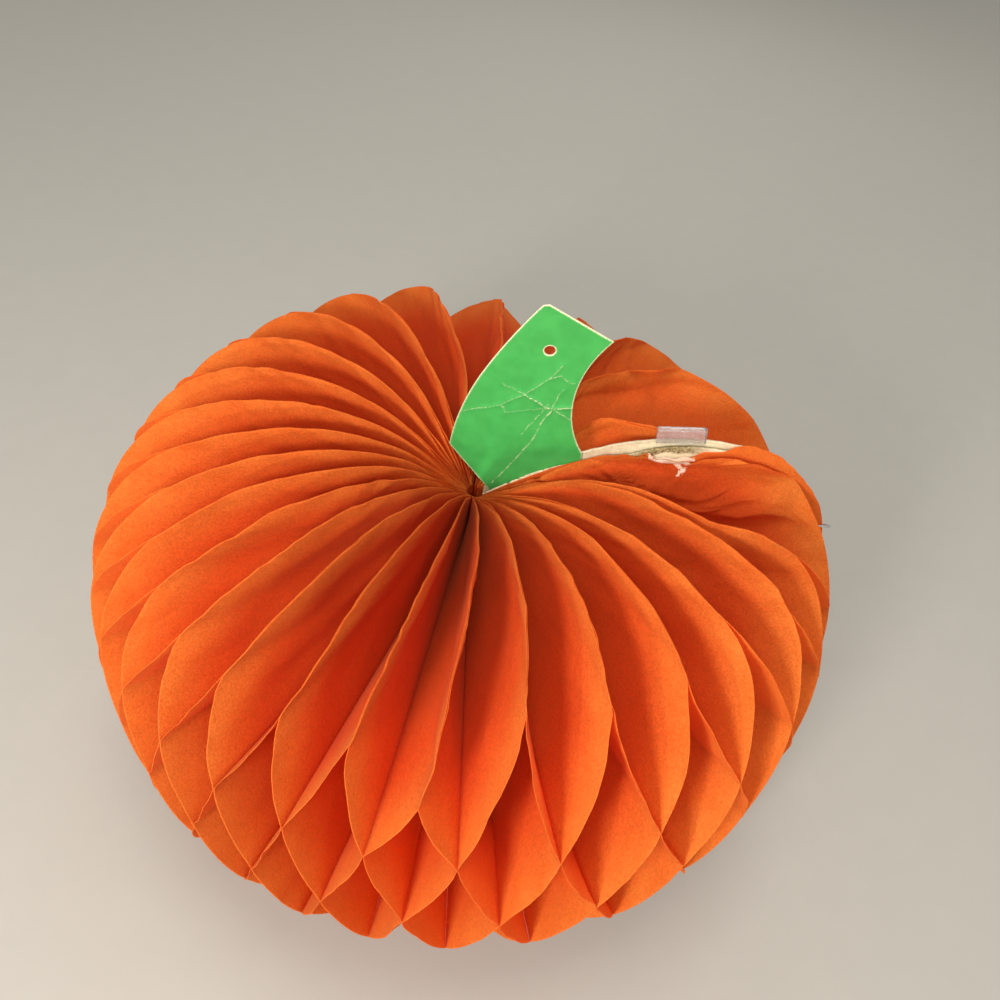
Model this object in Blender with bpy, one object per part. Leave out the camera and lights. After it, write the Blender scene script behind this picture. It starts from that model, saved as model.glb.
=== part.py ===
"""A honeycomb paper pumpkin, opened out and standing on its base.

Thin tissue leaves stand around an upright axis like the pages of a round book. Every leaf is glued to one
neighbour along the odd rows and to its other neighbour along the even rows, so the leaves zigzag between
the rows and make the honeycomb cells. Two half cards stand back to back where the opening closes, with the
stem card between them. A clear clip grips the back card's top edge, and a bent wire holds the rims.

Lengths are in metres and +Z is up. The origin is on the axis, at the height that the part stands on.
Inside, the model is laid out from the seam: +X runs from the axis out along the two cards, and +Y is the
side of the back card. An empty then turns the seam to its bearing.
"""

import math

import bmesh
import bpy
from mathutils import Vector

# The opened form: a rounded body with a flat base and a dimple around the stem
BODY_RADIUS = 0.150
EQUATOR_HEIGHT = 0.095
CROWN_RISE = 0.095
BASE_TRIM = 0.0025
ROUNDNESS = 2.75
DIMPLE_DEPTH = 0.0518
DIMPLE_WIDTH = 0.0462
DIMPLE_POWER = 1.15
CREST_TRIM = 0.0004

# The tissue leaves and the rows of glue that join them in pairs
PAIRS = 27
LEAF_THICKNESS = 0.0003
LEAF_GAP = 0.0002
SPINE_CROWDING = 1.85
CREST_TO_GLUE = 0.0090
BASE_TO_GLUE = 0.0168
GLUE_WIDTH = 0.006
GLUE_ROWS = 5
CREST_HOLD = 0.75
BASE_HOLD = 0.80

# The upper lobes lean this far along the seam, at half the body's radius
UPPER_SWAY = 0.0067

# Where the seam stands, and how the petals crowd and spread around the circle: each entry is the number of
# waves in a turn, then the wave's height and phase in degrees
SEAM_BEARING = 4.0
SPREAD_WAVES = ((1, 19.6, -37.0), (2, 4.0, -112.0), (3, 2.1, -114.0), (4, 1.2, -130.0))

# The rims of the widest open cells, behind the back card, have sunk: by this share of their height, reached
# after about so many pairs from the seam, and lost again at so many pairs, over a stretch of so many
SUNK_SHARE = 0.12
SUNK_FROM = 2.0
SUNK_TO = 4.9
SUNK_FADE = 0.35

# The cards at the seam
CARD_THICKNESS = 0.0010
STEM_THICKNESS = 0.0006
CARD_CLEARANCE = 0.0003
CARD_INNER_EDGE = 0.0030
BACK_CARD_LIFT = 0.0020
CRUSH_DEPTH = 0.0030
CRUSH_PLACE = 0.050
CRUSH_WIDTH = 0.014

# The stem card: where its corners and the middles of its curved sides lie, out from the axis and up from the
# floor of the dimple
STEM_LOW_CORNER = (-0.0118, 0.0268)
STEM_LOW_BULGE = (-0.0096, 0.0401)
STEM_KNEE = (-0.0026, 0.0604)
STEM_HIGH_BULGE = (0.0061, 0.0764)
STEM_TOP_LEFT = (0.0160, 0.0913)
STEM_PEAK = (0.0182, 0.0918)
STEM_TOP_RIGHT = (0.0418, 0.0800)
STEM_WAIST = (0.0323, 0.0552)
STEM_FOOT = (0.0395, 0.0278)
STEM_TIP = (0.0050, 0.0048)
STEM_TAB_DEPTH = 0.022
HANG_HOLE_PLACE = (0.0206, 0.0738)
HANG_HOLE_RADIUS = 0.0020

# The clear clip over the back card's top edge
CLIP_LENGTH = 0.0185
CLIP_PLACE = 0.0755
CLIP_WALL = 0.0005
CLIP_GRIP = 0.0016
CLIP_HEIGHT = 0.0100
CLIP_TILT = 5.0

# The bent wire over the rims of both cards
WIRE_RADIUS = 0.00045
WIRE_ABOVE_EQUATOR = 0.0440
WIRE_LEG_SPREAD = 0.0050
WIRE_REACH_IN = 0.016
WIRE_REACH_OUT = 0.0040

# Colours as red, green and blue in linear light, then roughness
TISSUE_LOOK = ((0.80, 0.17, 0.02), 0.80)
CARD_LOOK = ((0.62, 0.50, 0.30), 0.85)
STEM_LOOK = ((0.05, 0.45, 0.08), 0.45)
CLEAR_LOOK = ((0.85, 0.82, 0.78), 0.15)
WIRE_LOOK = ((0.55, 0.55, 0.56), 0.30)

# What follows from the sizes above
LEAF_PITCH = LEAF_THICKNESS + LEAF_GAP
UNDERSIDE_DROP = EQUATOR_HEIGHT + BASE_TRIM
DIMPLE_FLOOR = EQUATOR_HEIGHT + CROWN_RISE - DIMPLE_DEPTH
WIRE_HEIGHT = EQUATOR_HEIGHT + WIRE_ABOVE_EQUATOR
SPINE_RADIUS = PAIRS * 2 * LEAF_PITCH * SPINE_CROWDING / (2 * math.pi)
CARD_OFFSET = STEM_THICKNESS / 2 + CARD_CLEARANCE + CARD_THICKNESS / 2
SEAM_HALF_WIDTH = CARD_OFFSET + CARD_THICKNESS / 2 + CARD_CLEARANCE - LEAF_GAP / 2
SEARCH_STEPS = 60
SHARP_ANGLE = math.radians(30)


def crown_height(radius):
    """Height of the form's upper side: a rounded top less the dimple around the axis."""
    across = min(radius / BODY_RADIUS, 1.0)
    dome = EQUATOR_HEIGHT + CROWN_RISE * (1 - across**ROUNDNESS) ** (1 / ROUNDNESS)
    return dome - DIMPLE_DEPTH * math.exp(-((radius / DIMPLE_WIDTH) ** DIMPLE_POWER))


def find_crest():
    """The radius where the upper side is highest, closed in on by thirds."""
    low, high = SPINE_RADIUS, BODY_RADIUS
    for _ in range(SEARCH_STEPS):
        left, right = low + (high - low) / 3, high - (high - low) / 3
        if crown_height(left) < crown_height(right):
            low = left
        else:
            high = right
    return (low + high) / 2


CREST_RADIUS = find_crest()
CREST_HEIGHT = crown_height(CREST_RADIUS) - CREST_TRIM
GLUE_SPACING = (CREST_HEIGHT - CREST_TO_GLUE - BASE_TO_GLUE) / (GLUE_ROWS - 1)


def radius_at(height, rising, falling):
    """The radius between the two given ones where the upper side has this height, by halving."""
    for _ in range(SEARCH_STEPS):
        middle = (rising + falling) / 2
        if crown_height(middle) > height:
            falling = middle
        else:
            rising = middle
    return (rising + falling) / 2


def inner_radius(height):
    """Where a leaf begins at this height: at the spine, or further up on the wall of the dimple."""
    if height <= crown_height(SPINE_RADIUS):
        return SPINE_RADIUS
    return radius_at(height, SPINE_RADIUS, CREST_RADIUS)


def outer_radius(height):
    """Where the rim lies at this height."""
    if height > EQUATOR_HEIGHT:
        return radius_at(height, BODY_RADIUS, CREST_RADIUS)
    across = (EQUATOR_HEIGHT - height) / UNDERSIDE_DROP
    return BODY_RADIUS * (1 - across**ROUNDNESS) ** (1 / ROUNDNESS)


def glue_row(number):
    """Height of the middle of a glue row, counted down from the top one."""
    return CREST_HEIGHT - CREST_TO_GLUE - number * GLUE_SPACING


def hold(height):
    """1 where a leaf is glued to its ridge mate, -1 where it is glued to its valley mate."""
    if height >= glue_row(0):
        above = (height - glue_row(0)) / (CREST_HEIGHT - glue_row(0))
        return 1 - (1 - CREST_HOLD) * above
    last = glue_row(GLUE_ROWS - 1)
    if height <= last:
        side = 1 if GLUE_ROWS % 2 else -1
        return side * (1 - (1 - BASE_HOLD) * (last - height) / last)
    below = (glue_row(0) - height) / GLUE_SPACING
    row = int(below)
    free = GLUE_SPACING - GLUE_WIDTH
    part_way = ((below - row) * GLUE_SPACING - GLUE_WIDTH / 2) / free
    side = 1 if row % 2 == 0 else -1
    return side * (1 - 2 * min(max(part_way, 0), 1))


def spread(share):
    """Turns a share of the way around the circle into a true angle, crowding and spreading the petals."""
    degrees = 360 * share
    for waves, height, phase in SPREAD_WAVES:
        start = math.radians(phase)
        degrees += height * (math.sin(waves * math.tau * share + start) - math.sin(start))
    return math.radians(degrees)


def sunk(place, radius):
    """Share of its height that a point has lost, by its place in pairs from the seam and its radius."""
    deep = 1 - math.exp(-max(place, 0) / SUNK_FROM)
    ended = 1 / (1 + math.exp((place - SUNK_TO) / SUNK_FADE))
    return SUNK_SHARE * deep * ended * (radius / BODY_RADIUS) ** 2


def sway(radius, height):
    """How far a point of the upper lobes leans out along the seam."""
    below_crown = (height - glue_row(1)) / (glue_row(0) - glue_row(1))
    fade = min(max(below_crown, 0), 1)
    across = min(radius / BODY_RADIUS, 1.0)
    return 4 * UPPER_SWAY * across * (1 - across) * fade


def leaf_place(number, held):
    """Where a leaf is around the circle, in pairs from the seam, and how far it stands off its glue mate.

    The first and last leaves are glued flat to the cover cards, so their mates reach right up to the cards.
    """
    pair = (number + 1) // 2
    half = LEAF_PITCH / 2
    if number == 1:
        return 0.0, half
    if number == 2:
        return 0.5 - 0.5 * held, half + LEAF_PITCH * held
    if number == 2 * PAIRS - 1:
        return PAIRS - 0.5 + 0.5 * held, -half - LEAF_PITCH * held
    if number == 2 * PAIRS:
        return PAIRS, -half
    if number % 2:
        return pair - 0.75 + 0.25 * held, -half * held
    return pair - 0.25 - 0.25 * held, half * held


def leaf_point(number, radius, height, side):
    """A point of one face of a leaf, where side is -1 or 1 for the face that looks back or on around."""
    place, off = leaf_place(number, hold(height))
    room = math.asin(SEAM_HALF_WIDTH / radius)
    turned = spread(place / PAIRS) * (math.tau - 2 * room) / math.tau
    angle = room + turned + (off + side * LEAF_THICKNESS / 2) / radius
    across = sway(radius, height)
    up = height * (1 - sunk(place, radius))
    return Vector((radius * math.cos(angle) + across, radius * math.sin(angle), up))


def leaf_levels():
    """The heights at which a leaf has a line of vertices: both edges of each glue row and what shapes the rim."""
    levels = [0.0, glue_row(GLUE_ROWS - 1) / 2]
    for row in range(GLUE_ROWS):
        levels += [glue_row(row) - GLUE_WIDTH / 2, glue_row(row) + GLUE_WIDTH / 2]
    levels.append((glue_row(GLUE_ROWS - 1) + glue_row(GLUE_ROWS - 2)) / 2)
    spine_top = crown_height(SPINE_RADIUS)
    dimple_edge = glue_row(0) - GLUE_WIDTH / 2
    levels += [spine_top + (dimple_edge - spine_top) * share for share in (0.0, 0.35, 0.7)]
    crest_start = glue_row(0) + GLUE_WIDTH / 2
    levels += [crest_start + (CREST_HEIGHT - crest_start) * share for share in (0.6, 1.0)]
    return sorted(levels)


def make_object(name, bm, look, seam):
    """Puts a finished bmesh into an object of its own, under the empty that turns the seam."""
    bmesh.ops.recalc_face_normals(bm, faces=bm.faces)
    mesh = bpy.data.meshes.new(name)
    bm.to_mesh(mesh)
    bm.free()
    mesh.materials.append(look)
    piece = bpy.data.objects.new(name, mesh)
    bpy.context.collection.objects.link(piece)
    piece.parent = seam
    return piece


def make_leaf(number, look, seam):
    """One tissue leaf: its flat outline in rows, bent round, then extruded through its thickness."""
    bm = bmesh.new()
    rows = []
    for height in leaf_levels():
        ends = inner_radius(height), outer_radius(height)
        rows.append([(bm.verts.new(leaf_point(number, r, height, -1)), r, height) for r in ends])
    for lower, upper in zip(rows, rows[1:]):
        bm.faces.new([lower[0][0], lower[1][0], upper[1][0]])
        bm.faces.new([lower[0][0], upper[1][0], upper[0][0]])
    places = {vert: (radius, height) for row in rows for vert, radius, height in row}
    bm.verts.index_update()
    order = [places[vert] for vert in bm.verts]
    extruded = bmesh.ops.extrude_face_region(bm, geom=list(bm.faces), use_keep_orig=True)
    far_side = [item for item in extruded["geom"] if isinstance(item, bmesh.types.BMVert)]
    near_side = {tuple(round(value, 7) for value in vert.co): place for vert, place in zip(bm.verts, order)}
    for vert in far_side:
        radius, height = near_side[tuple(round(value, 7) for value in vert.co)]
        vert.co = leaf_point(number, radius, height, 1)
    return make_object(f"tissue_leaf_{number:02d}", bm, look, seam)


def arc(start, middle, end, steps):
    """Points on the circle through three given ones, from the first to the last, without the last."""
    (ax, ay), (bx, by), (cx, cy) = start, middle, end
    double = 2 * (ax * (by - cy) + bx * (cy - ay) + cx * (ay - by))
    a2, b2, c2 = ax * ax + ay * ay, bx * bx + by * by, cx * cx + cy * cy
    ox = (a2 * (by - cy) + b2 * (cy - ay) + c2 * (ay - by)) / double
    oy = (a2 * (cx - bx) + b2 * (ax - cx) + c2 * (bx - ax)) / double
    radius = math.hypot(ax - ox, ay - oy)
    first, last = math.atan2(ay - oy, ax - ox), math.atan2(cy - oy, cx - ox)
    turn = (last - first + math.pi) % math.tau - math.pi
    angles = [first + turn * step / steps for step in range(steps)]
    return [(ox + radius * math.cos(angle), oy + radius * math.sin(angle)) for angle in angles]


def make_plate(name, outline, offset, thickness, look, seam):
    """A flat card: its outline in the seam's plane, extruded through its thickness about that offset."""
    bm = bmesh.new()
    near = [bm.verts.new((along, offset - thickness / 2, height)) for along, height in outline]
    face = bm.faces.new(near)
    extruded = bmesh.ops.extrude_face_region(bm, geom=[face], use_keep_orig=True)
    far = [item for item in extruded["geom"] if isinstance(item, bmesh.types.BMVert)]
    bmesh.ops.translate(bm, verts=far, vec=(0, thickness, 0))
    return make_object(name, bm, look, seam)


def card_top(along):
    """The top edge of a half card at this distance from the axis, which follows the leaves."""
    radius = along
    for _ in range(8):
        radius = along - sway(radius, crown_height(radius))
    return crown_height(max(radius, 0))


def card_outline(lift, crush):
    """A half card: up the rim from the base, over the top and down the dimple to the axis."""
    rim_heights = [EQUATOR_HEIGHT * step / 8 for step in range(9)]
    rim = [(outer_radius(height), height) for height in rim_heights]
    top = []
    for step in range(1, 9):
        radius = BODY_RADIUS * math.cos(math.pi / 2 * step / 12) ** (2 / ROUNDNESS)
        top.append((radius, crown_height(radius)))
    inward = top[-1][0] - CARD_INNER_EDGE
    for step in range(1, 17):
        radius = CARD_INNER_EDGE + inward * (1 - step / 16)
        top.append((radius, crown_height(radius)))
    bent = [(radius + sway(radius, height), height) for radius, height in top]
    dent = [crush * math.exp(-(((along - CRUSH_PLACE) / CRUSH_WIDTH) ** 2)) for along, _ in bent]
    upper = [(along, height - low) for (along, height), low in zip(bent, dent)]
    outline = [(CARD_INNER_EDGE, 0.0)] + rim + upper
    return [(along, height + lift) for along, height in outline]


def make_cards(look, seam):
    """The two half cards, back to back with room for the stem card between them."""
    front = card_outline(0.0, CRUSH_DEPTH)
    back = card_outline(BACK_CARD_LIFT, 0.0)
    make_plate("front_cover_card", front, -CARD_OFFSET, CARD_THICKNESS, look, seam)
    make_plate("back_cover_card", back, CARD_OFFSET, CARD_THICKNESS, look, seam)


def make_stem(look, seam):
    """The stem card, with its tab between the half cards and its punched hanging hole."""
    tab_low = STEM_TIP[1] - STEM_TAB_DEPTH
    outline = arc(STEM_LOW_CORNER, STEM_LOW_BULGE, STEM_KNEE, 6)
    outline += arc(STEM_KNEE, STEM_HIGH_BULGE, STEM_TOP_LEFT, 6)
    outline += [STEM_TOP_LEFT, STEM_PEAK]
    outline += arc(STEM_TOP_RIGHT, STEM_WAIST, STEM_FOOT, 10)
    outline += [STEM_FOOT, (STEM_FOOT[0], tab_low), (STEM_TIP[0], tab_low), STEM_TIP]
    lifted = [(along, DIMPLE_FLOOR + up) for along, up in outline]
    stem = make_plate("stem_card", lifted, 0.0, STEM_THICKNESS, look, seam)
    bpy.ops.mesh.primitive_cylinder_add(
        vertices=24,
        radius=HANG_HOLE_RADIUS,
        depth=STEM_THICKNESS * 8,
        location=(HANG_HOLE_PLACE[0], 0, DIMPLE_FLOOR + HANG_HOLE_PLACE[1]),
        rotation=(math.pi / 2, 0, 0),
    )
    punch = bpy.context.object
    punch.name = "hang_hole_punch"
    punch.parent = seam
    punch.display_type = "WIRE"
    punch.hide_render = True
    cut = stem.modifiers.new("hang_hole", "BOOLEAN")
    cut.object = punch
    cut.operation = "DIFFERENCE"
    cut.solver = "EXACT"


def make_clip(look, seam):
    """The clear clip: a U channel, open downwards, that grips the back card's top edge."""
    half_slot = CARD_THICKNESS / 2 + CARD_CLEARANCE
    half_width = half_slot + CLIP_WALL
    roof = CLIP_HEIGHT - CLIP_WALL
    section = [
        (-half_width, 0), (-half_slot, 0), (-half_slot, roof), (half_slot, roof),
        (half_slot, 0), (half_width, 0), (half_width, CLIP_HEIGHT), (-half_width, CLIP_HEIGHT),
    ]
    bm = bmesh.new()
    face = bm.faces.new([bm.verts.new((-CLIP_LENGTH / 2, across, up)) for across, up in section])
    extruded = bmesh.ops.extrude_face_region(bm, geom=[face], use_keep_orig=True)
    far = [item for item in extruded["geom"] if isinstance(item, bmesh.types.BMVert)]
    bmesh.ops.translate(bm, verts=far, vec=(CLIP_LENGTH, 0, 0))
    clip = make_object("plastic_clip", bm, look, seam)
    card_edge = card_top(CLIP_PLACE) + BACK_CARD_LIFT
    clip.location = (CLIP_PLACE, CARD_OFFSET, card_edge - CLIP_GRIP)
    clip.rotation_euler = (0, -math.radians(CLIP_TILT), 0)


def make_wire(look, seam):
    """The bent wire: a leg outside each card and its flat leaf, joined by a bow that stands out past the rim."""
    flat_leaf = SEAM_HALF_WIDTH + (LEAF_PITCH + LEAF_THICKNESS) / 2
    side = flat_leaf + CARD_CLEARANCE + WIRE_RADIUS
    rim = outer_radius(WIRE_HEIGHT)
    half_spread = WIRE_LEG_SPREAD / 2
    bow_start = rim + WIRE_REACH_OUT - half_spread
    route = [(rim - WIRE_REACH_IN, -side, WIRE_HEIGHT + half_spread)]
    for step in range(9):
        turn = math.pi * step / 8
        along = bow_start + half_spread * math.sin(turn)
        route.append((along, -side * math.cos(turn), WIRE_HEIGHT + half_spread * math.cos(turn)))
    route.append((rim - WIRE_REACH_IN, side, WIRE_HEIGHT - half_spread))
    curve = bpy.data.curves.new("wire_clip", "CURVE")
    curve.dimensions = "3D"
    curve.bevel_depth = WIRE_RADIUS
    curve.bevel_resolution = 1
    curve.use_fill_caps = True
    line = curve.splines.new("POLY")
    line.points.add(len(route) - 1)
    for point, place in zip(line.points, route):
        point.co = (*place, 1.0)
    curve.materials.append(look)
    wire = bpy.data.objects.new("wire_clip", curve)
    bpy.context.collection.objects.link(wire)
    wire.parent = seam


def make_material(name, look, metallic=0.0, alpha=1.0):
    """A Principled material with the look's colour and roughness."""
    colour, roughness = look
    material = bpy.data.materials.new(name)
    material.use_nodes = True
    shader = material.node_tree.nodes["Principled BSDF"]
    shader.inputs["Base Color"].default_value = (*colour, 1.0)
    shader.inputs["Roughness"].default_value = roughness
    shader.inputs["Metallic"].default_value = metallic
    shader.inputs["Alpha"].default_value = alpha
    return material


def main():
    """Clears the scene and builds every piece."""
    for old in list(bpy.data.objects):
        bpy.data.objects.remove(old, do_unlink=True)
    seam = bpy.data.objects.new("seam_line", None)
    seam.rotation_euler = (0, 0, math.radians(SEAM_BEARING))
    bpy.context.collection.objects.link(seam)
    tissue = make_material("orange_tissue", TISSUE_LOOK)
    for number in range(1, 2 * PAIRS + 1):
        make_leaf(number, tissue, seam)
    make_cards(make_material("pulp_card", CARD_LOOK), seam)
    make_stem(make_material("green_card", STEM_LOOK), seam)
    make_clip(make_material("clear_plastic", CLEAR_LOOK, alpha=0.4), seam)
    make_wire(make_material("wire", WIRE_LOOK, metallic=1.0), seam)


main()
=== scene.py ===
import math

import bmesh
import bpy
import numpy as np
from mathutils import Matrix, Vector


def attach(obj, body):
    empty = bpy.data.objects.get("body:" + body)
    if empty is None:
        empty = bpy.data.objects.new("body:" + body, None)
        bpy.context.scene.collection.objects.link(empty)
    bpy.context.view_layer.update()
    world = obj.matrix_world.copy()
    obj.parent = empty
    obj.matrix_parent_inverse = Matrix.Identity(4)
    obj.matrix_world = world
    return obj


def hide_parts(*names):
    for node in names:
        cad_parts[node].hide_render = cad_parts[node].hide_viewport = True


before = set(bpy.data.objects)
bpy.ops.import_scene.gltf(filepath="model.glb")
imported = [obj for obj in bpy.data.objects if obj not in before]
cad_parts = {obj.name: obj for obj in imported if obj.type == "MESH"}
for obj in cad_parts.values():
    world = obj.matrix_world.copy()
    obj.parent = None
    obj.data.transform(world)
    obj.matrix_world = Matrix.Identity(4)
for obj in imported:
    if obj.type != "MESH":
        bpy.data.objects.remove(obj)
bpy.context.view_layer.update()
print("frame loaded,", len(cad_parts), "nodes")


# small helpers

def cellQuads(index):
    # the four corners of every cell of a grid of point numbers
    return np.stack([index[:-1, :-1], index[:-1, 1:], index[1:, 1:], index[1:, :-1]], axis=-1)


def sheetMesh(name, points, closedU=False, attributes=None):
    # points is a grid (rows, columns, 3); every four neighbours make one face
    rows, cols = points.shape[:2]
    index = np.arange(rows * cols).reshape(rows, cols)
    if closedU:
        index = np.concatenate([index, index[:, :1]], axis=1)
    return quadMesh(name, points.reshape(-1, 3), cellQuads(index).reshape(-1, 4), attributes)


def quadMesh(name, verts, quads, attributes=None):
    # a smooth mesh from points, four point numbers a face, and one number a point for each attribute
    mesh = bpy.data.meshes.new(name)
    mesh.vertices.add(len(verts))
    mesh.vertices.foreach_set("co", np.asarray(verts, np.float32).ravel())
    mesh.loops.add(quads.size)
    mesh.loops.foreach_set("vertex_index", quads.astype(np.int32).ravel())
    mesh.polygons.add(len(quads))
    mesh.polygons.foreach_set("loop_start", np.arange(0, quads.size, 4, dtype=np.int32))
    mesh.polygons.foreach_set("loop_total", np.full(len(quads), 4, np.int32))
    mesh.polygons.foreach_set("use_smooth", np.ones(len(quads), bool))
    for key, values in (attributes or {}).items():
        layer = mesh.attributes.new(key, "FLOAT", "POINT")
        layer.data.foreach_set("value", np.asarray(values, np.float32).ravel())
    mesh.update(calc_edges=True)
    mesh.validate()
    return mesh


def addPiece(name, mesh, materials, node):
    # a piece of the pumpkin, which stands for one CAD node
    piece = bpy.data.objects.new(name, mesh)
    bpy.context.scene.collection.objects.link(piece)
    for material in materials:
        mesh.materials.append(material)
    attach(piece, "root")
    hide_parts(node)
    return piece


def thicken(piece, thickness, rimSlot=0):
    # half the thickness on each side of the sheet, with closed rims
    solid = piece.modifiers.new("thickness", "SOLIDIFY")
    solid.thickness = thickness
    solid.offset = 0
    solid.use_rim = True
    solid.material_offset_rim = rimSlot


def ease(x):
    # smooth step: 0 below 0, 1 above 1, and a soft S between
    x = np.clip(x, 0, 1)
    return x * x * (3 - 2 * x)


def ripples(seed, a, b, waves, lengths):
    # a sum of plane waves over the grid (a, b), with random directions and phases, about 1 high
    rng = np.random.default_rng(seed)
    total = np.zeros(np.broadcast(a, b).shape)
    for _ in range(waves):
        length = rng.uniform(*lengths)
        turn = rng.uniform(0, math.tau)
        phase = rng.uniform(0, math.tau)
        total += np.sin((a * math.cos(turn) + b * math.sin(turn)) * math.tau / length + phase)
    return total / math.sqrt(waves)


# materials

def newMaterial(name):
    # an empty material, and the place that its patterns are read at
    material = bpy.data.materials.new(name)
    material.use_nodes = True
    nodes, links = material.node_tree.nodes, material.node_tree.links
    nodes.clear()
    return material, nodes, links, nodes.new("ShaderNodeTexCoord").outputs["Object"]


def plug(links, socket, value):
    # a socket takes another node's output, a number, or a colour
    if isinstance(value, bpy.types.NodeSocket):
        links.new(value, socket)
    elif isinstance(value, (int, float)):
        socket.default_value = value
    else:
        socket.default_value = (*value, 1)


def addNode(nodes, kind, **values):
    # a new node with its sockets and settings filled in by name
    node = nodes.new(kind)
    for key, value in values.items():
        if key in node.inputs:
            node.inputs[key].default_value = value
        else:
            setattr(node, key, value)
    return node


def addNoise(nodes, links, place, scale, detail, roughness=0.5):
    # cloudy noise from 0 to 1, with about this many waves to a metre
    noise = addNode(nodes, "ShaderNodeTexNoise", Scale=scale, Detail=detail, Roughness=roughness)
    links.new(place, noise.inputs["Vector"])
    return noise.outputs["Fac"]


def addRamp(nodes, links, source, *stops):
    # a number turned into a colour that runs evenly from stop to stop
    ramp = nodes.new("ShaderNodeValToRGB")
    for element, (place, colour) in zip(ramp.color_ramp.elements, stops):
        element.position = place
        element.color = (*colour, 1)
    links.new(source, ramp.inputs["Fac"])
    return ramp.outputs["Color"]


def addMath(nodes, links, operation, *values, clamp=False):
    # one step of arithmetic: MULTIPLY is first times second, and MULTIPLY_ADD adds the third to that
    node = addNode(nodes, "ShaderNodeMath", operation=operation, use_clamp=clamp)
    for socket, value in zip(node.inputs, values):
        plug(links, socket, value)
    return node.outputs[0]


def addBump(nodes, links, height, strength, distance):
    # tilts the shading by the slope of height times distance, times its strength
    bump = addNode(nodes, "ShaderNodeBump", Strength=strength, Distance=distance)
    links.new(height, bump.inputs["Height"])
    return bump.outputs["Normal"]


def attribute(nodes, name):
    # the number that the mesh holds under this name at each point
    return addNode(nodes, "ShaderNodeAttribute", attribute_name=name).outputs["Fac"]


def mixColour(nodes, links, factor, first, second, blend="MIX"):
    # first (1 - factor) + second factor; MULTIPLY puts first times second in the place of second
    mix = addNode(nodes, "ShaderNodeMix", data_type="RGBA", blend_type=blend)
    for socket, value in ((mix.inputs[0], factor), (mix.inputs[6], first), (mix.inputs[7], second)):
        plug(links, socket, value)
    return mix.outputs[2]


def addSurface(nodes, links, colour, normal, specular, **values):
    # the main shader with its linked colour and bump
    shader = addNode(nodes, "ShaderNodeBsdfPrincipled", **values)
    shader.inputs["Specular IOR Level"].default_value = specular
    links.new(colour, shader.inputs["Base Color"])
    links.new(normal, shader.inputs["Normal"])
    return shader


def finishMaterial(nodes, links, shader):
    # what the shader gives becomes the surface
    links.new(shader.outputs[0], nodes.new("ShaderNodeOutputMaterial").inputs["Surface"])


tissueLook = {
    "orange": (0.900, 0.325, 0.054), "deepOrange": (0.850, 0.262, 0.040), "cloudSize": 0.014,
    "darkSpecks": (0.77, 0.71, 0.66), "paleSpecks": (1.16, 1.22, 1.26), "grainSize": 0.0007,
    "grainBump": 0.45, "grainDepth": 0.00016,
    # the darker red below, its weight and the distance it takes to come in from the rims are painted shade
    "paintedShadeRed": (0.810, 0.112, 0.018), "paintedShadeWeight": 0.88, "paintedShadeReach": 0.026,
    "edge": (0.900, 0.290, 0.070), "edgeShare": 0.10,
    "worn": (0.900, 0.690, 0.530), "wornSize": 0.0024, "wornWeight": 0.72, "wornThrough": 0.08,
    "through": (0.950, 0.245, 0.028), "throughShare": 0.57,
    "roughness": 0.80, "specular": 0.15, "sheen": 0.10, "sheenTint": (1.00, 0.62, 0.30),
}


def makeTissue():
    # cloudy orange times a fine grain, with painted shade in a darker red away from the rims, and pale where
    # torn; light comes through
    look = tissueLook
    material, nodes, links, place = newMaterial("orangeTissue")
    cloud = addNoise(nodes, links, place, 1 / look["cloudSize"], 4.0, 0.6)
    grain = addNoise(nodes, links, place, 1 / look["grainSize"], 2.0, 0.7)
    shreds = addNoise(nodes, links, place, 1 / look["wornSize"], 3.0, 0.55)
    patches = addRamp(nodes, links, cloud, (0.35, look["deepOrange"]), (0.65, look["orange"]))
    specks = addRamp(nodes, links, grain, (0.32, look["darkSpecks"]), (0.68, look["paleSpecks"]))
    # painted shade: the colour runs to a darker red further in from the rims, standing in for the shade in
    # the valleys
    inner = addMath(nodes, links, "MULTIPLY", attribute(nodes, "deep"), look["paintedShadeWeight"])
    colour = mixColour(nodes, links, inner, patches, look["paintedShadeRed"])
    colour = mixColour(nodes, links, 1.0, colour, specks, "MULTIPLY")
    shown = addMath(nodes, links, "MULTIPLY", attribute(nodes, "rim"), look["edgeShare"])
    colour = mixColour(nodes, links, shown, colour, look["edge"])
    # torn where the shreds and the weighted worn share add up to nearly 1
    torn = addMath(nodes, links, "MULTIPLY_ADD", attribute(nodes, "worn"), look["wornWeight"], shreds)
    tornMask = addRamp(nodes, links, torn, (0.92, (0, 0, 0)), (1.00, (1, 1, 1)))
    colour = mixColour(nodes, links, tornMask, colour, look["worn"])
    normal = addBump(nodes, links, grain, look["grainBump"], look["grainDepth"])
    paper = addSurface(nodes, links, colour, normal, look["specular"], Roughness=look["roughness"])
    paper.inputs["Sheen Weight"].default_value = look["sheen"]
    plug(links, paper.inputs["Sheen Tint"], look["sheenTint"])
    glow = nodes.new("ShaderNodeBsdfTranslucent")
    plug(links, glow.inputs["Color"], look["through"])
    links.new(normal, glow.inputs["Normal"])
    # light comes through the tissue but hardly through the torn card fibres that stick to it
    less = look["wornThrough"] - look["throughShare"]
    share = addMath(nodes, links, "MULTIPLY_ADD", tornMask, less, look["throughShare"])
    mix = nodes.new("ShaderNodeMixShader")
    for socket, value in zip(mix.inputs, (share, paper.outputs[0], glow.outputs[0])):
        links.new(value, socket)
    finishMaterial(nodes, links, mix)
    return material


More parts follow.
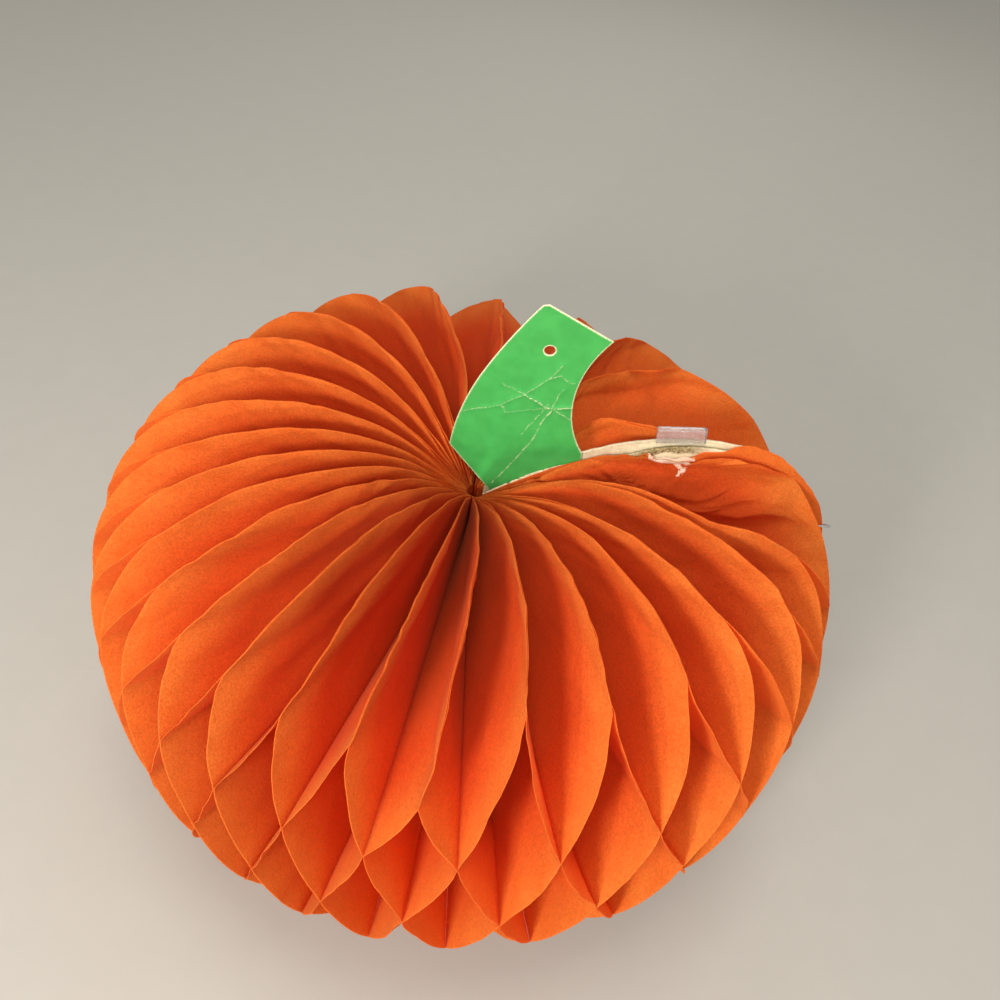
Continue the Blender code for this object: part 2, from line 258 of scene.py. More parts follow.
cardLook = {
    "cream": (0.80, 0.70, 0.48), "brown": (0.66, 0.55, 0.37), "blotchScale": 90.0,
    "darkFibres": (0.80, 0.78, 0.74), "paleFibres": (1.08, 1.07, 1.05), "fibreSize": 0.0016,
    "core": (0.40, 0.31, 0.15), "coreDark": (0.11, 0.075, 0.030), "flakeSize": 0.0009,
    "fibreBump": 0.5, "fibreDepth": 0.0002, "roughness": 0.9, "specular": 0.2,
}


def makePulp():
    # blotchy cream card times its fibres, with the dark flaky inside shown by the core attribute
    look = cardLook
    material, nodes, links, place = newMaterial("pulpCard")
    fibre = addNoise(nodes, links, place, 1 / look["fibreSize"], 5.0, 0.65)
    blotch = addNoise(nodes, links, place, look["blotchScale"], 3.0)
    flakes = addNoise(nodes, links, place, 1 / look["flakeSize"], 3.0, 0.7)
    tone = addRamp(nodes, links, blotch, (0.30, look["brown"]), (0.52, look["cream"]))
    specks = addRamp(nodes, links, fibre, (0.30, look["darkFibres"]), (0.70, look["paleFibres"]))
    inside = addRamp(nodes, links, flakes, (0.36, look["coreDark"]), (0.60, look["core"]))
    colour = mixColour(nodes, links, 1.0, tone, specks, "MULTIPLY")
    colour = mixColour(nodes, links, attribute(nodes, "core"), colour, inside)
    normal = addBump(nodes, links, fibre, look["fibreBump"], look["fibreDepth"])
    paper = addSurface(nodes, links, colour, normal, look["specular"], Roughness=look["roughness"])
    finishMaterial(nodes, links, paper)
    return material


stemLook = {
    "green": (0.060, 0.410, 0.088), "darkGreen": (0.048, 0.355, 0.072), "mottleScale": 160.0,
    "core": (0.860, 0.830, 0.560), "grainScale": 1500.0,
    "leastBare": (0.35, 0.35, 0.35), "mostBare": (1.2, 1.2, 1.2),
    "grainBump": 0.15, "grainDepth": 0.0001, "roughness": 0.38, "specular": 0.4,
}


def makeStemPrint():
    # mottled green print, broken to the cream card beneath by the bare attribute times a fine grain
    look = stemLook
    material, nodes, links, place = newMaterial("greenPrint")
    mottle = addNoise(nodes, links, place, look["mottleScale"], 4.0)
    grain = addNoise(nodes, links, place, look["grainScale"], 2.0)
    tone = addRamp(nodes, links, mottle, (0.35, look["darkGreen"]), (0.65, look["green"]))
    broken = addRamp(nodes, links, grain, (0.30, look["leastBare"]), (0.60, look["mostBare"]))
    shown = addMath(nodes, links, "MULTIPLY", attribute(nodes, "bare"), broken, clamp=True)
    colour = mixColour(nodes, links, shown, tone, look["core"])
    normal = addBump(nodes, links, grain, look["grainBump"], look["grainDepth"])
    card = addSurface(nodes, links, colour, normal, look["specular"], Roughness=look["roughness"])
    finishMaterial(nodes, links, card)
    return material


def makeFine(name, look):
    # one colour running softly into another by one noise, which also sways the gloss and a bump
    material, nodes, links, place = newMaterial(name)
    spread = nodes.new("ShaderNodeMapping")
    spread.inputs["Scale"].default_value = (1 / look.get("stretch", 1.0), 1, 1)
    links.new(place, spread.inputs["Vector"])
    noise = addNoise(nodes, links, spread.outputs[0], 1 / look["size"], 4.0, 0.6)
    tone = addRamp(nodes, links, noise, (0.35, look["dark"]), (0.65, look["pale"]))
    smooth, rough = ((value,) * 3 for value in look["roughness"])
    gloss = addRamp(nodes, links, noise, (0.30, smooth), (0.70, rough))
    normal = addBump(nodes, links, noise, 0.4, look["depth"])
    specular, metallic = look.get("specular", 0.5), look.get("metallic", 0.0)
    shader = addSurface(nodes, links, tone, normal, specular, Metallic=metallic)
    shader.inputs["Transmission Weight"].default_value = look.get("transmission", 0.0)
    links.new(gloss, shader.inputs["Roughness"])
    finishMaterial(nodes, links, shader)
    return material


coreLook = {
    "dark": (0.74, 0.68, 0.44), "pale": (0.86, 0.82, 0.58), "roughness": (0.7, 0.9), "size": 0.0012,
    "depth": 0.0001,
}
plasticLook = {
    "dark": (0.90, 0.90, 0.88), "pale": (0.99, 0.99, 0.98), "roughness": (0.03, 0.30), "size": 0.0016,
    "depth": 0.0003, "transmission": 0.87, "stretch": 4.0,
}
wireLook = {
    "dark": (0.52, 0.51, 0.49), "pale": (0.70, 0.69, 0.67), "roughness": (0.20, 0.38), "size": 0.0020,
    "depth": 0.00005, "metallic": 1.0,
}

tissue = makeTissue()
pulp = makePulp()
greenPrint = makeStemPrint()
creamCore = makeFine("creamCore", coreLook)
clearPlastic = makeFine("clearPlastic", plasticLook)
brightWire = makeFine("brightWire", wireLook)
print("materials made")


# the opened form, in metres, as the frame has it

form = {
    "radius": 0.150, "equator": 0.095, "rise": 0.095, "drop": 0.0975, "power": 2.75,
    "dimpleDepth": 0.0518, "dimpleWidth": 0.0462, "dimplePower": 1.15, "fanDrop": 0.012,
    "lowSteps": 400, "topSteps": 1200, "columnPower": 0.85,
    "sway": 0.0067, "swayFrom": 0.1287, "swayOver": 0.0373, "seam": math.radians(4.0), "pairs": 27,
}
# how the petals crowd and spread: waves in the whole turn, with their height and phase in degrees
crowding = ((1, 19.6, -37.0), (2, 4.0, -112.0), (3, 2.1, -114.0), (4, 1.2, -130.0))
# the petals past the back card have sagged by this share of their height, growing and ending at these pairs
sagging = {"share": 0.12, "grow": 2.0, "end": 4.9, "fade": 0.35}


def crownHeight(r):
    # a rounded top less the dimple: equator + rise (1 - (r/R)^n)^(1/n) - depth exp(-(r/width)^p)
    across = np.clip(r / form["radius"], 0, 1)
    dome = form["equator"] + form["rise"] * (1 - across ** form["power"]) ** (1 / form["power"])
    return dome - form["dimpleDepth"] * np.exp(-(r / form["dimpleWidth"]) ** form["dimplePower"])


def halfOutline(startRadius):
    # the rim in fine steps, from the flat base round to the crest and down the dimple, and its length so far:
    # at a depth d below the equator (r/R)^n + (d/drop)^n = 1, and above the equator the crown's height
    n = form["power"]
    low = math.asin((form["equator"] / form["drop"]) ** (n / 2))
    beta = np.linspace(-low, 0, form["lowSteps"])[:-1]
    lowR = form["radius"] * np.cos(beta) ** (2 / n)
    lowZ = form["equator"] - form["drop"] * np.sin(-beta) ** (2 / n)
    last = math.acos((startRadius / form["radius"]) ** (n / 2))
    topR = form["radius"] * np.cos(np.linspace(0, last, form["topSteps"])) ** (2 / n)
    r = np.concatenate([lowR, topR])
    z = np.concatenate([lowZ, crownHeight(topR)])
    along = np.concatenate([[0], np.cumsum(np.hypot(np.diff(r), np.diff(z)))])
    return r, z, along


def halfGrid(rows, cols, startRadius, rimBand, levels=(), crowd=0.0):
    # a half outline filled from the spine out: each row runs straight from the spine to a point of the rim,
    # level below the fan and then tilting up to the crest, and a row is moved to each wanted level; with
    # crowd above 1 the columns gather at the rim; the last two grids are the way along the rim and in from it
    fineR, fineZ, fineAlong = halfOutline(startRadius)
    crest = int(np.argmax(fineZ))
    even = np.linspace(0, fineAlong[-1], rows)
    for level in levels:
        wanted = np.interp(level, fineZ[:crest], fineAlong[:crest])
        even[1 + np.argmin(np.abs(even[1:-1] - wanted))] = wanted
    rimR, rimZ = np.interp(even, fineAlong, fineR), np.interp(even, fineAlong, fineZ)
    top = float(crownHeight(np.array(startRadius)))
    fan = top - form["fanDrop"]
    start = np.interp(fan, fineZ[:crest], fineAlong[:crest])
    after = np.clip((even - start) / (even[-1] - start), 0, 1)
    spineZ = np.where(even <= start, rimZ, fan + (top - fan) * after)
    reach = np.hypot(rimR - startRadius, rimZ - spineZ)
    s = np.empty((rows, cols))
    t = np.linspace(0, 1, cols - 1)
    s[:, :-2] = (1 - (1 - t) ** crowd if crowd else t ** form["columnPower"])[:-1]
    s[:, -2] = 1 - np.minimum(rimBand / np.maximum(reach, 1e-6), (1 - s[:, -3]) / 2)
    s[:, -1] = 1
    r = startRadius + (rimR - startRadius)[:, None] * s
    z = spineZ[:, None] + (rimZ - spineZ)[:, None] * s
    return r, z, s, even[:, None] + 0 * s, reach[:, None] * (1 - s)


def spreadBearing(share):
    # a share of the way round to a true angle: a whole turn plus the crowding waves, each from nothing
    degrees = 360 * share
    for waves, height, phase in crowding:
        start = math.radians(phase)
        degrees = degrees + height * (np.sin(waves * math.tau * share + start) - math.sin(start))
    return np.radians(degrees)


def sunkShare(place, r):
    # share (1 - exp(-place/grow)) / (1 + exp((place - end)/fade)) (r/R)^2
    deep = 1 - np.exp(-np.maximum(place, 0) / sagging["grow"])
    ended = 1 / (1 + np.exp((place - sagging["end"]) / sagging["fade"]))
    return sagging["share"] * deep * ended * (r / form["radius"]) ** 2


def swayOut(r, z):
    # how far the upper part leans along the seam: 4 sway a (1 - a) at the share a of the radius, more upwards
    across = np.clip(r / form["radius"], 0, 1)
    rise = np.clip((z - form["swayFrom"]) / form["swayOver"], 0, 1)
    return 4 * form["sway"] * across * (1 - across) * rise


def turned(x, y, z):
    # from the seam's own axes to the part's: turned by the seam's bearing about the upright axis
    c, s = math.cos(form["seam"]), math.sin(form["seam"])
    return np.stack([x * c - y * s, x * s + y * c, z], axis=-1)


# the tissue leaves

leafSizes = {
    "count": 54, "thickness": 0.00012, "gap": 0.00003, "spine": 0.0036, "seamHalf": 0.0018,
    # rows, columns and crowding of the common leaf, and of those that are seen large
    "grid": (108, 25, 0.0), "rimBand": 0.0004,
    "fineGrid": {3: (200, 40, 0.0), 4: (200, 40, 0.0), 5: (200, 40, 0.0), 6: (200, 40, 0.0),
                 53: (420, 72, 1.7), 54: (230, 48, 1.7)},
    "glueRows": (0.1660, 0.1287, 0.0914, 0.0541, 0.0240), "glueStep": 0.0373, "glueHalf": 0.0006,
    "glueEase": 1.10, "crest": 0.1771, "crestHold": 0.97, "baseHold": 0.80,
    "buckle": 0.0006, "buckleLengths": (0.018, 0.060), "endBuckle": 0.08,
    "flutter": 0.00020, "flutterLengths": (0.006, 0.026), "flutterFrom": 0.72,
    "ridgeSway": 0.030, "swayLengths": (0.030, 0.080), "kink": 0.050, "kinkLengths": (0.014, 0.032),
    "trim": 0.0008, "trimLengths": (0.010, 0.040), "seed": 11,
    # the heights where the back end leaf comes off its card and where the end leaves' rims begin to stray
    "offFrom": 0.146, "offOver": 0.022, "reachFrom": 0.120, "reachOver": 0.03,
}
# less of the painted shade, the darker red further in from the rims, is laid on these ridges beside the seam
paintedShadeByRidge = {1: 0.6, 2: 0.6, 3: 0.6, 26: 0.8}
# how far below the usual row the top glue of some ridges sits, in metres
topGlueDrop = {14: 0.004, 15: 0.007, 16: 0.009, 17: 0.009, 18: 0.009, 19: 0.009, 20: 0.019, 24: -0.005,
               25: 0.005}
# where some ridges lean from their place, in pairs, at radii in millimetres
ridgeLean = {
    1: ((37, 48, 56, 66, 78), (1.30, 1.10, 0.62, 0.22, 0.0)),
    2: ((55, 80, 100, 112, 130), (0.90, 0.62, 0.44, 0.22, -0.12)),
    3: ((60, 90, 115, 140), (0.48, 0.42, 0.24, 0.0)),
    24: ((30, 90, 130), (-0.25, -0.20, 0.0)),
    25: ((30, 37, 53, 70), (0.95, 0.90, 0.45, 0.05)),
    26: ((37, 50, 70, 85, 102, 118), (0.0, -0.30, -0.62, -0.70, -0.22, 0.0)),
}


def glueHold(z, rows):
    # 1 at the rows where a leaf meets its ridge mate, -1 at the rows where it meets its valley mate, and a
    # nearly straight line between; a little less than 1 at the crest and at the base
    sizes = leafSizes
    below = np.interp(-z, [-row for row in rows], range(len(rows)))
    row = np.clip(np.floor(below), 0, len(rows) - 2)
    flat = sizes["glueHalf"] / sizes["glueStep"]
    part = np.clip((below - row - flat) / (1 - 2 * flat), 0, 1) ** sizes["glueEase"]
    held = np.where(np.mod(row, 2) == 0, 1.0, -1.0) * (1 - 2 * part)
    past = np.clip((z - rows[0]) / (sizes["crest"] - rows[0]), 0, 1)
    held = np.where(z >= rows[0], 1 - (1 - sizes["crestHold"]) * past, held)
    return np.where(z <= rows[-1], 1 - (1 - sizes["baseHold"]) * (rows[-1] - z) / rows[-1], held)


foldSizes = {
    # how deeply some ridges are crumpled, in metres, and the light crinkle of every leaf
    "deep": {1: 0.0020, 2: 0.0026, 3: 0.0026, 4: 0.0012, 5: 0.0010, 13: 0.0010, 14: 0.0014, 15: 0.0012,
             16: 0.0010, 17: 0.0008, 25: 0.0008, 26: 0.0016, 27: 0.0044},
    "crinkle": 0.00022, "lengths": (0.022, 0.048), "turns": (0.7, 2.3), "middle": 0.35,
    "smallLengths": (0.010, 0.026), "smallTurns": (0.6, 2.5), "frontTurns": (1.10, 2.05),
    "smallSharp": 2.2, "smallShare": 0.35, "frontSmallShare": -0.50,
    "bend": 0.006, "bendLengths": (0.05, 0.12),
    "fadeMiddle": 0.45, "fadeSwing": 0.75, "fadeLengths": (0.04, 0.10),
    "pinned": 0.007, "floor": 0.06, "floorFade": 0.07,
}


def creases(seed, a, b, waves, lengths, turns, sharp=1.6):
    # sharp folds, 0 to 1: the highest of several (1 - |sin|)^sharp of bent plane waves that fade in and out
    sizes = foldSizes
    rng = np.random.default_rng(seed)
    bend = ripples(seed + 7, a, b, 3, sizes["bendLengths"]) * sizes["bend"]
    high = np.zeros(np.broadcast(a, b).shape)
    for wave in range(waves):
        turn, length = rng.uniform(*turns), rng.uniform(*lengths)
        way = a * math.cos(turn) + b * math.sin(turn) + bend
        across = way * math.pi / length + rng.uniform(0, math.pi)
        fade = ripples(seed + 31 * wave, a, b, 2, sizes["fadeLengths"])
        share = np.clip(sizes["fadeMiddle"] + sizes["fadeSwing"] * fade, 0, 1)
        high = np.maximum(high, (1 - np.abs(np.sin(across))) ** sharp * share)
    return high


def foldPush(pair, r, z, s, held, glueRows):
    # how far the folds push a leaf: both mates of a ridge alike, but the mates of the end leaves away from
    # the cards, and nothing near a glue row or towards the floor
    sizes = foldSizes
    seed, grow = leafSizes["seed"], ease(s * 2.5)
    folds = creases(seed * 800 + pair, r, z, 5, sizes["lengths"], sizes["turns"]) * grow
    folds = {1: folds, 27: -folds}.get(pair, folds - sizes["middle"] * grow)
    turns = sizes["frontTurns"] if pair > 25 else sizes["smallTurns"]
    small = creases(seed * 870 + pair, r, z, 7, sizes["smallLengths"], turns, sizes["smallSharp"]) * grow
    folds = folds + (sizes["frontSmallShare"] if pair == 27 else sizes["smallShare"]) * small
    away = np.min(np.abs(z[..., None] - np.array(glueRows)), axis=-1)
    push = sizes["deep"][pair] * folds * ease(held * 2) * ease(away / sizes["pinned"])
    return push * ease((z - sizes["floor"]) / sizes["floorFade"])


tear = {
    # the rims beside the stem: the torn dip, the nick, and the lip that folds up over the cards further out
    "at": 0.0670, "width": 0.0110, "depth": 0.0052, "ragged": 0.0012, "raggedLengths": (0.0022, 0.009),
    "nick": 0.0500, "nickWidth": 0.005, "nickDepth": 0.0016,
    "over": 0.0056, "overFrom": 0.084, "overGrow": 0.010, "lowerFrom": 0.106, "lowerOver": 0.018,
    "lobe": 0.0015, "lobeAt": 0.044, "lobeWidth": 0.012,
    # the pale patch and its streak: radii in metres, heights in millimetres below the torn rim
    "patchAt": 0.0665, "patchWidth": 0.0100, "patchHeight": 3.4,
    "streakAt": 0.0700, "streakLean": 0.0003, "streakWidth": 0.0034, "streakLow": 4, "streakHeight": 5.5,
    "streakShare": 0.72,
}


def rimReach(number, x):
    # how far the rims of the end leaves stand past the cover cards: the front ones are torn down beside the
    # stem and the last folds up over the cards beyond, the back ones have a lobe next to the stem
    if number < 3:
        return tear["lobe"] * np.exp(-((x - tear["lobeAt"]) / tear["lobeWidth"]) ** 2)
    ragged = tear["ragged"] * ripples(541, x, 0 * x, 6, tear["raggedLengths"])
    torn = np.exp(-((x - tear["at"]) / tear["width"]) ** 2)
    nick = np.exp(-((x - tear["nick"]) / tear["nickWidth"]) ** 2)
    lower = 1 - 0.50 * ease((x - tear["lowerFrom"]) / tear["lowerOver"])
    over = ease((x - tear["overFrom"]) / tear["overGrow"]) * lower * (number - 53)
    dips = -tear["depth"] * torn - tear["nickDepth"] * nick
    return dips + tear["over"] * over + ragged * (torn + 0.5 * nick + 0.35 * over)


def wornShare(r, z):
    # a flat-topped patch below the torn rim, exp(-across^4 - down^2), and a leaning streak with across^2
    below = (float(crownHeight(np.array(tear["at"]))) - tear["depth"] - z) * 1000
    patch = np.exp(-((r - tear["patchAt"]) / tear["patchWidth"]) ** 4 - (below / tear["patchHeight"]) ** 2)
    across = (r - tear["streakAt"] - tear["streakLean"] * below) / tear["streakWidth"]
    streak = np.exp(-across ** 2 - ((below - tear["streakLow"]) / tear["streakHeight"]) ** 2)
    return np.maximum(patch, tear["streakShare"] * streak)


def ridgeShift(pair, r, z, s, along, inward):
    # how far a ridge strays from its even place, in pairs: its own lean, a slow sway, and kinks along its rim
    sizes = leafSizes
    radii, shifts = ridgeLean.get(pair, ((0,), (0.0,)))
    sway = ripples(sizes["seed"] * 900 + pair, r, z, 4, sizes["swayLengths"])
    kinks = creases(sizes["seed"] * 950 + pair, along, inward, 3, sizes["kinkLengths"], (-0.5, 0.5))
    lean = np.interp(r * 1000, radii, shifts) + sizes["ridgeSway"] * sway * ease(s * 2)
    return lean + sizes["kink"] * (kinks - 0.3) * ease(s * 2 - 0.6)


def leafPlace(number, held, lean):
    # how many pairs round from the seam a leaf stands, and on which side of its glue mate: the end leaves lie
    # flat on the cover cards, and their mates reach right up to the cards
    half = (leafSizes["thickness"] + leafSizes["gap"]) / 2
    pair = (number + 1) // 2
    shut = np.clip(held, 0, 1)
    if number in (1, 54):
        return (0.0, half) if number == 1 else (27.0, -half)
    if number == 2:
        return 0.5 - 0.5 * held + lean * shut, half + 2 * half * held
    if number == 53:
        return 26.5 + 0.5 * held + lean * shut, -half - 2 * half * held
    side = 1 if number % 2 else -1
    middle = pair - 0.75 if number % 2 else pair - 0.25
    return middle + side * 0.25 * held + lean * shut, -side * half * held


def makeLeaf(number):
    # a half outline turned to the bearing of its place, less and more by its glue, buckles and folds
    sizes = leafSizes
    seed, pair, isEnd = sizes["seed"], (number + 1) // 2, number in (1, sizes["count"])
    rows, cols, crowd = sizes["fineGrid"].get(number, sizes["grid"])
    glueRows = list(sizes["glueRows"])
    glueRows[0] -= topGlueDrop.get(pair, 0.0)
    r, z, s, along, inward = halfGrid(rows, cols, sizes["spine"], sizes["rimBand"], glueRows, crowd)
    held = glueHold(z, glueRows)
    lean = ridgeShift(pair, r, z, s, along, inward)
    place, off = leafPlace(number, held, lean)
    if number == 1:
        place = lean * ease((z - sizes["offFrom"]) / sizes["offOver"])
    if number in (1, 2, 53, 54):
        z = z + rimReach(number, r) * ease((z - sizes["reachFrom"]) / sizes["reachOver"]) * s ** 8
    # the free stretches buckle a little, the glued ones stay flat
    free = np.clip(1 - np.abs(held), 0, 1)
    flat = sizes["endBuckle"] if isEnd else 1.0
    wave = ripples(seed * 100 + number, r, z, 5, sizes["buckleLengths"])
    off = off + flat * sizes["buckle"] * wave * free * ease(s * 1.6)
    edge = ripples(seed * 300 + number, along, 0 * s, 6, sizes["flutterLengths"])
    atRim = ease((s - sizes["flutterFrom"]) / (1 - sizes["flutterFrom"]))
    off = off + flat * sizes["flutter"] * edge * atRim * (0.25 + free)
    light = creases(seed * 700 + number, r, z, 4, foldSizes["lengths"], foldSizes["turns"])
    off = off + foldSizes["crinkle"] * light * free
    if pair in foldSizes["deep"] and not isEnd:
        off = off + foldPush(pair, r, z, s, held, glueRows)
    # the cards leave this much less room for the turn
    room = np.arcsin(sizes["seamHalf"] / np.maximum(r, sizes["seamHalf"] * 1.02))
    turn = spreadBearing(np.maximum(place, 0) / form["pairs"]) * (math.tau - 2 * room) / math.tau
    angle = room + turn + off / r
    trim = 1 + sizes["trim"] * ripples(seed * 500 + pair, along, 0 * s, 4, sizes["trimLengths"]) * s ** 4
    up = z * (1 - sunkShare(place, r)) * np.minimum(trim, 1.0)
    points = turned(r * np.cos(angle) + swayOut(r, z), r * np.sin(angle), up)
    marks = {
        "rim": np.arange(cols) + 0 * s == cols - 1,
        "worn": wornShare(r, z) if number > 52 else 0 * s,
        # painted shade: 0 at the rim, growing to its full share further in
        "deep": ease(inward / tissueLook["paintedShadeReach"]) * paintedShadeByRidge.get(pair, 1.0),
    }
    mesh = sheetMesh(f"tissueLeaf{number:02d}", points, attributes=marks)
    leaf = addPiece(f"tissueLeaf{number:02d}", mesh, [tissue], f"tissue_leaf_{number:02d}")
    thicken(leaf, sizes["thickness"])


for number in range(1, leafSizes["count"] + 1):
    makeLeaf(number)
print("leaves made")


# the two cover cards

cardSizes = {
    "grid": (230, 30), "crowd": 2.0, "rimBand": 0.0003, "inner": 0.0030, "thickness": 0.0010,
    "offset": 0.0011, "rough": 0.00025, "roughLengths": (0.003, 0.012), "roughAbove": 0.02,
    "bow": 0.00004, "bowLengths": (0.03, 0.09),
    "crushPlace": 0.050, "crushWidth": 0.014, "crushFrom": 0.130, "crushOver": 0.02,
    "coreAt": 0.0705, "coreWidth": 0.0150, "coreSoft": 0.9, "coreLengths": (0.003, 0.010),
}
# the front card is crushed beside the stem and has split to its core, the back one stands a little higher;
# how deep the core shows, and by how much that varies, are in millimetres
frontCard = {"side": -1, "lift": 0.0, "crush": 0.0030, "core": 2.6, "coreSwing": 0.9, "coreShare": 1.0,
             "seed": 71}
backCard = {"side": 1, "lift": 0.0020, "crush": 0.0, "core": 0.4, "coreSwing": 0.0, "coreShare": 0.3,
            "seed": 72}


def makeCard(name, node, card):
    # the half outline, dented by a bell of the crush, roughened along its rim and slightly bowed
    sizes = cardSizes
    seed = card["seed"]
    r, z, s, along = halfGrid(*sizes["grid"], sizes["inner"], sizes["rimBand"], crowd=sizes["crowd"])[:4]
    x = r + swayOut(r, z)
    crown = ease((z - sizes["crushFrom"]) / sizes["crushOver"]) * s ** 3
    dent = card["crush"] * np.exp(-((x - sizes["crushPlace"]) / sizes["crushWidth"]) ** 2) * crown
    rough = sizes["rough"] * ripples(seed, along, 0 * s, 6, sizes["roughLengths"])
    rough = rough * s ** 6 * (z > sizes["roughAbove"])
    bow = sizes["bow"] * ripples(seed + 1, x, z, 4, sizes["bowLengths"])
    below = (crownHeight(r) - z) * 1000
    torn = card["core"] + card["coreSwing"] * ripples(seed + 2, x, 0 * x, 5, sizes["coreLengths"])
    beside = np.exp(-((x - sizes["coreAt"]) / sizes["coreWidth"]) ** 4)
    core = (1 - ease((below - torn) / sizes["coreSoft"])) * beside * card["coreShare"]
    points = turned(x, card["side"] * sizes["offset"] + bow, z - dent - np.abs(rough) + card["lift"])
    mesh = sheetMesh(name, points, attributes={"core": core})
    thicken(addPiece(name, mesh, [pulp], node), sizes["thickness"])


makeCard("frontCoverCard", "front_cover_card", frontCard)
makeCard("backCoverCard", "back_cover_card", backCard)
print("cover cards made")


# the stem card

stemSizes = {
    "rows": 290, "cols": 124, "thickness": 0.0006, "floor": 0.1382,
    # the outline, out from the axis and up from the floor of the dimple
    "tabFoot": (0.0050, -0.0172), "tip": (0.0050, 0.0048), "lowCorner": (-0.0118, 0.0268),
    "lowBulge": (-0.0096, 0.0401), "knee": (-0.0026, 0.0604), "highBulge": (0.0061, 0.0764),
    "topLeft": (0.0160, 0.0913), "peak": (0.0182, 0.0918), "topRight": (0.0418, 0.0800),
    "waist": (0.0323, 0.0552), "foot": (0.0395, 0.0278), "rightTabFoot": (0.0395, -0.0172),
    "holeAt": (0.0206, 0.2120), "holeRadius": 0.0020,
    # in millimetres: the bare edge, the width of a crack and of its fold, and how far they wander
    "bareEdge": 0.15, "bareFade": 0.4, "crack": 0.14, "foldWidth": 1.1, "wander": 0.35,
    "wanderWay": (0.8, 0.6), "wanderLengths": (2.5, 7.0), "breakLengths": (1.2, 4.0),
    # how bare the cut edge is, how bare a crack is on the whole and by how much that varies, and its limits
    "edgeBare": 0.9, "crackBare": 0.75, "crackSwing": 0.5, "crackLimits": (0.15, 1.1),
    "foldDepth": 0.00035, "curl": 0.00025, "curlLengths": (0.04, 0.09),
    "flatBelow": 0.176, "flatFade": 0.012,
}
stemCreases = [
    # where the print has cracked: the points of each crease in millimetres, out and up, and its strength
    ([(-8.5, 181.5), (-4, 183.5), (1, 184.5), (6, 186.5), (10, 189.5), (14, 192)], 0.55),
    ([(14, 192), (18, 190), (21.5, 187.6), (25, 187), (29, 187.6), (33, 188.3)], 1.0),
    ([(14, 192), (10, 193.8), (5, 196.5)], 0.35),
    ([(14, 192), (18, 196), (22, 200), (24, 203), (26, 206.5)], 0.45),
    ([(22, 200), (26, 202), (28, 200), (31, 199)], 0.5),
    ([(25, 187), (29, 184.5), (33, 182.5)], 0.7),
    ([(25, 187), (22, 180), (20, 172), (14, 160), (6, 146)], 0.75),
    ([(23.5, 189), (19, 180.5), (15, 173)], 0.5),
    ([(25, 187), (26, 193), (28, 196)], 0.4),
    ([(6, 186.5), (8, 183), (12, 184), (17, 185.5), (25, 187)], 0.3),
]


def threePointArc(a, b, c, steps):
    # points on the one circle through a, b and c, whose middle is as far from each of them
    ax, ay, bx, by, cx, cy = *a, *b, *c
    d = 2 * (ax * (by - cy) + bx * (cy - ay) + cx * (ay - by))
    a2, b2, c2 = ax * ax + ay * ay, bx * bx + by * by, cx * cx + cy * cy
    ox = (a2 * (by - cy) + b2 * (cy - ay) + c2 * (ay - by)) / d
    oy = (a2 * (cx - bx) + b2 * (ax - cx) + c2 * (bx - ax)) / d
    first, last = math.atan2(ay - oy, ax - ox), math.atan2(cy - oy, cx - ox)
    turn = (last - first + math.pi) % math.tau - math.pi
    angle = first + turn * np.linspace(0, 1, steps)
    radius = math.hypot(ax - ox, ay - oy)
    return np.stack([ox + radius * np.cos(angle), oy + radius * np.sin(angle)], axis=-1)


def evenPath(points, count):
    # the same path with evenly spaced points
    gap = np.hypot(*np.diff(points, axis=0).T)
    along = np.concatenate([[0], np.cumsum(gap)])
    even = np.linspace(0, along[-1], count)
    return np.stack([np.interp(even, along, points[:, 0]), np.interp(even, along, points[:, 1])], axis=-1)


def segmentDistance(p, a, b):
    # distance of every point of a grid to one straight piece
    a, b = np.array(a), np.array(b)
    d = b - a
    t = np.clip(((p - a) @ d) / (d @ d), 0, 1)
    return np.linalg.norm(p - (a + t[..., None] * d), axis=-1)


def stemSides():
    # the horn's two long edges: on the left two arcs up from the tab, on the right one arc that curves in
    sizes = stemSizes
    outline = ("tabFoot", "tip", "lowCorner", "lowBulge", "knee", "highBulge", "topLeft", "peak", "topRight",
               "waist", "foot", "rightTabFoot")
    at = {key: (sizes[key][0], sizes["floor"] + sizes[key][1]) for key in outline}
    low = threePointArc(at["lowCorner"], at["lowBulge"], at["knee"], 30)
    high = threePointArc(at["knee"], at["highBulge"], at["topLeft"], 30)
    inner = threePointArc(at["topRight"], at["waist"], at["foot"], 40)[::-1]
    left = np.concatenate([[at["tabFoot"], at["tip"]], low, high, [at["peak"]]])
    right = np.concatenate([[at["rightTabFoot"]], inner])
    return evenPath(left, sizes["rows"]), evenPath(right, sizes["rows"])


